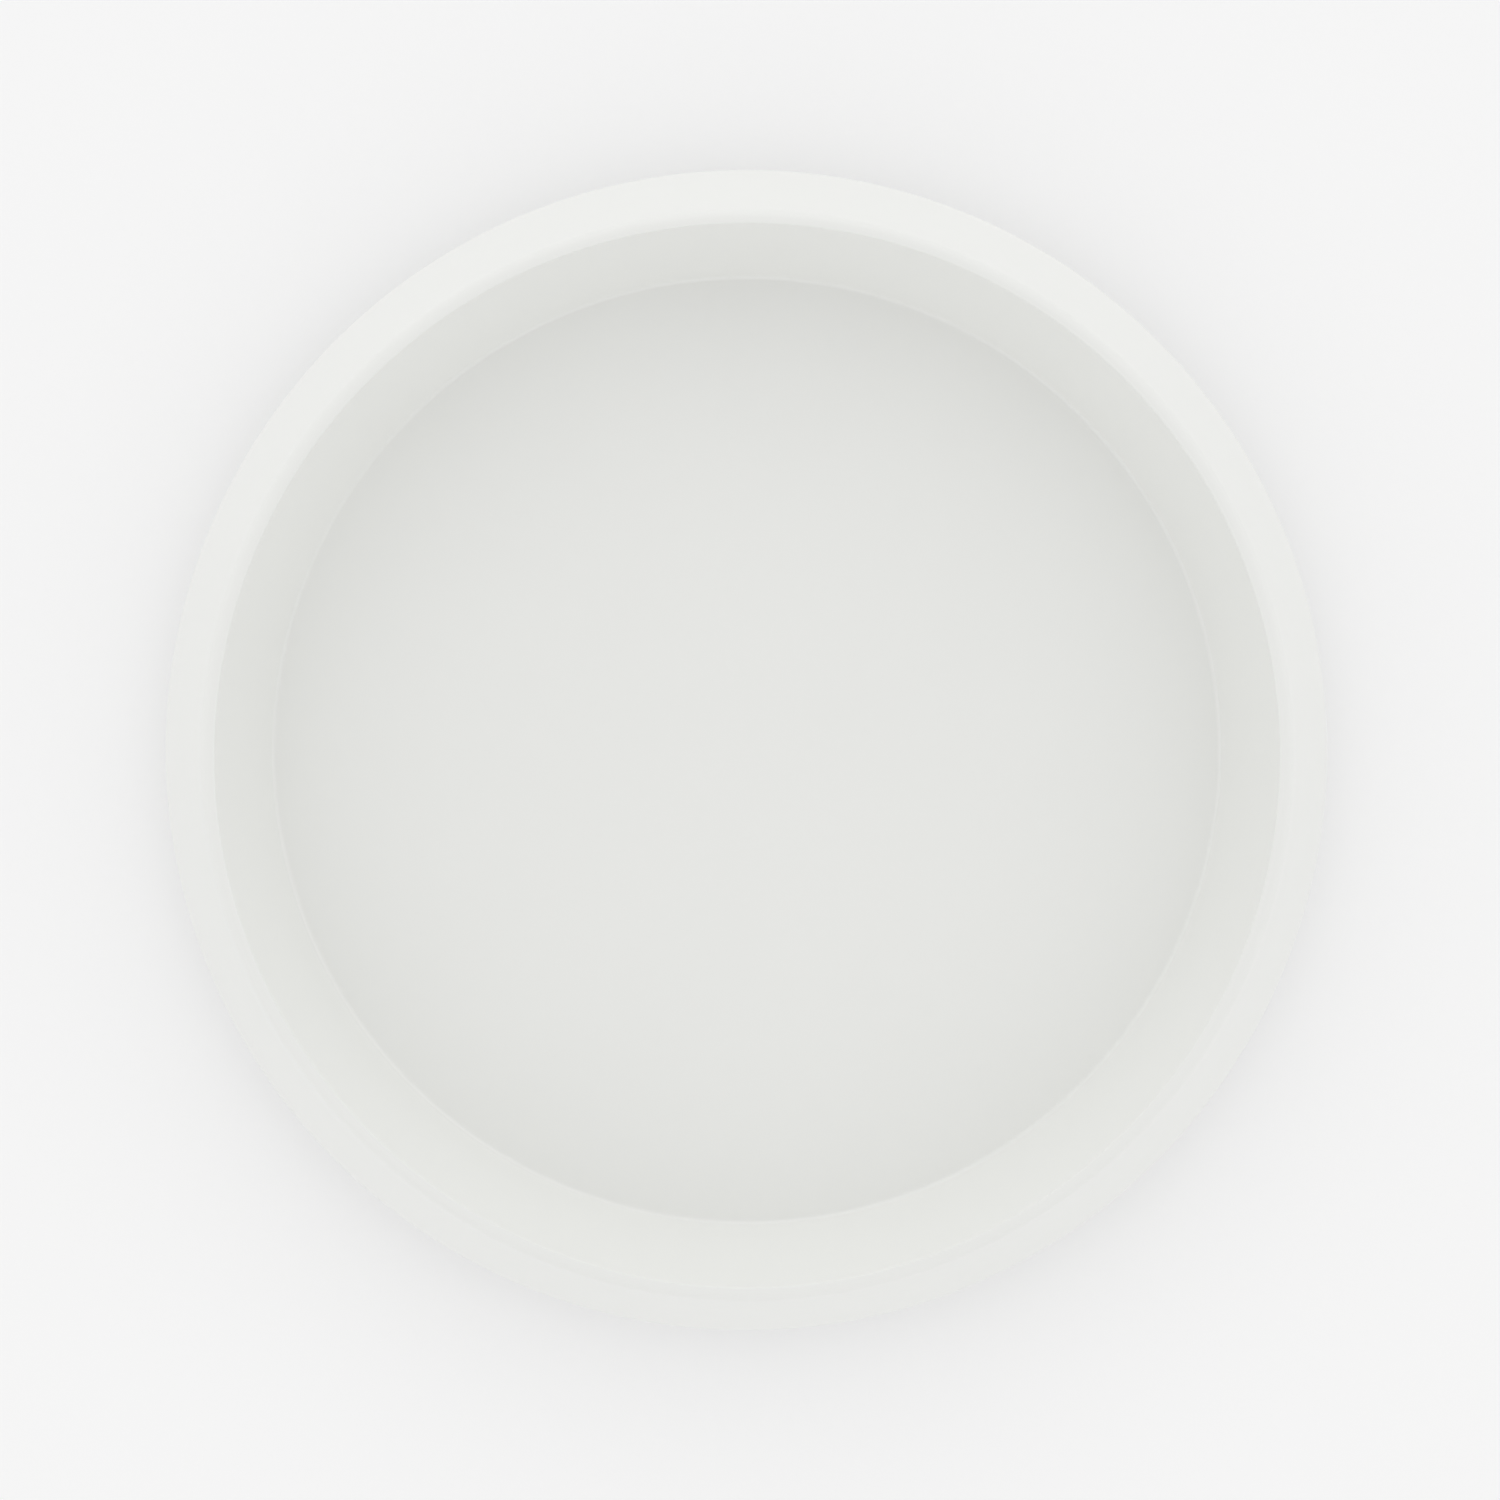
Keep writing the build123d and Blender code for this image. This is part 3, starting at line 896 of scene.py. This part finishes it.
# ---------------------------------------------------------------- the object
def build_tray():
    """Everything that turns with the tray."""
    white = moulded_plastic("white_polypropylene", TRAY_WHITE, roughness=0.42, grain=0.12)
    slot = "tray_plastic"
    placed(tray_skin(), "tray", slot, white, "turntable_tray")
    for piece in (tray_floor_ribs(), upper_race(), tray_hub()):
        placed(piece, "tray", slot, white)
    steel = zinc_steel("zinc_plated_washer", WASHER_ZINC)
    clamp = washer(
        "clamp_washer_pressed", CLAMP_LOW, CLAMP_HIGH, CLAMP_WASHER_BORE, CLAMP_WASHER_EDGE
    )
    placed(clamp, "tray", "washer_steel", steel, "clamp_washer")
    screw_steel = zinc_steel("zinc_plated_screw", SCREW_ZINC)
    placed(screw_head(), "tray", "screw_steel", screw_steel, "pivot_screw")
    placed(screw_thread(), "tray", "screw_steel", screw_steel)


def build_base():
    """Everything that stands still."""
    white = moulded_plastic("white_polypropylene_base", BASE_WHITE, roughness=0.46, grain=0.16)
    placed(base_skin(), "base", "base_plastic", white, "base_plate")
    for piece in [*base_ribs(), foot_seats()]:
        placed(piece, "base", "base_plastic", white)
    acetal = natural_plastic("natural_acetal", ACETAL, roughness=0.28)
    placed(bushing(), "base", "bushing_plastic", acetal, "pivot_bushing")
    nylon = natural_plastic("natural_nylon", NYLON, roughness=0.42)
    thrust = washer(
        "thrust_washer_cut", THRUST_LOW, THRUST_HIGH, THRUST_WASHER_BORE, THRUST_WASHER_EDGE
    )
    placed(thrust, "base", "washer_plastic", nylon, "thrust_washer")
    rubber = soft_rubber()
    for n, angle in enumerate(turns(FEET), start=1):
        foot = rubber_foot(f"rubber_foot_{n}_soft", angle)
        placed(foot, "base", "foot_rubber", rubber, f"rubber_foot_{n}")


def build_bearing():
    """The cage and the balls, each ball riding on its own rolling body."""
    grey = moulded_plastic("grey_polypropylene", CAGE_GREY, roughness=0.45, grain=0.15)
    placed(cage(), "cage", "cage_plastic", grey, "ball_cage")
    steel = bearing_steel()
    for n in range(BALLS):
        node = f"ball_{n + 1:02d}"
        ball = round_ball(f"{node}_polished", ball_centre(n))
        placed(ball, f"rolling_{node}", "ball_steel", steel, node)


# ---------------------------------------------------------------- the studio
def studio_floor():
    """A large pale floor under the object."""
    made = bmesh.new()
    bmesh.ops.create_grid(made, x_segments=1, y_segments=1, size=STUDIO_HALF_WIDTH)
    floor = finished(made, "studio_floor")
    material, shader = new_material("studio_white")
    shader.inputs["Base Color"].default_value = (STUDIO_WHITE, STUDIO_WHITE, STUDIO_WHITE, 1)
    shader.inputs["Roughness"].default_value = 0.9
    shader.inputs["Emission Color"].default_value = (1, 1, 1, 1)
    shader.inputs["Emission Strength"].default_value = STUDIO_GLOW
    floor.data.materials.append(material)


def panel_glow(tree, direction, towards, strength):
    """The glow of one wide soft panel of the tent, strongest straight towards it."""
    facing = add(tree, "ShaderNodeVectorMath", operation="DOT_PRODUCT")
    facing.inputs[1].default_value = Vector(towards).normalized()
    tree.links.new(direction, facing.inputs[0])
    front = calculated(tree, "MAXIMUM", facing.outputs["Value"], 0.0)
    spread = calculated(tree, "POWER", front, PANEL_SPREAD)
    return calculated(tree, "MULTIPLY", spread, strength)


def studio_light():
    """A light tent: a dim even dome with a bright soft panel low on each side."""
    world = bpy.data.worlds.new("light_tent")
    world.use_nodes = True
    tree = world.node_tree
    direction = tree.nodes.new("ShaderNodeTexCoord").outputs["Generated"]
    glow = DOME_LEVEL
    for towards, strength in TENT_PANELS:
        glow = calculated(tree, "ADD", panel_glow(tree, direction, towards, strength), glow)
    background = tree.nodes["Background"]
    background.inputs["Color"].default_value = (1, 1, 1, 1)
    tree.links.new(glow, background.inputs["Strength"])
    bpy.context.scene.world = world


def camera():
    """A camera above the tray floor, a little behind the axis, looking down with +Y up the frame."""
    data = bpy.data.cameras.new("camera")
    data.sensor_width = SENSOR_WIDTH
    data.lens = SENSOR_WIDTH * CAMERA_DISTANCE / SEEN_WIDTH
    data.clip_start = 0.01
    data.clip_end = 50
    item = bpy.data.objects.new("camera", data)
    bpy.context.scene.collection.objects.link(item)
    forward = (CAMERA_AIM - CAMERA_PLACE).normalized()
    right = forward.cross(Vector((0, 1, 0))).normalized()
    axes = Matrix((right, right.cross(forward), -forward)).transposed()
    item.matrix_world = Matrix.Translation(CAMERA_PLACE) @ axes.to_4x4()
    bpy.context.scene.camera = item


build_tray()
build_base()
build_bearing()
studio_floor()
studio_light()
camera()
bpy.context.scene.view_settings.view_transform = "Standard"
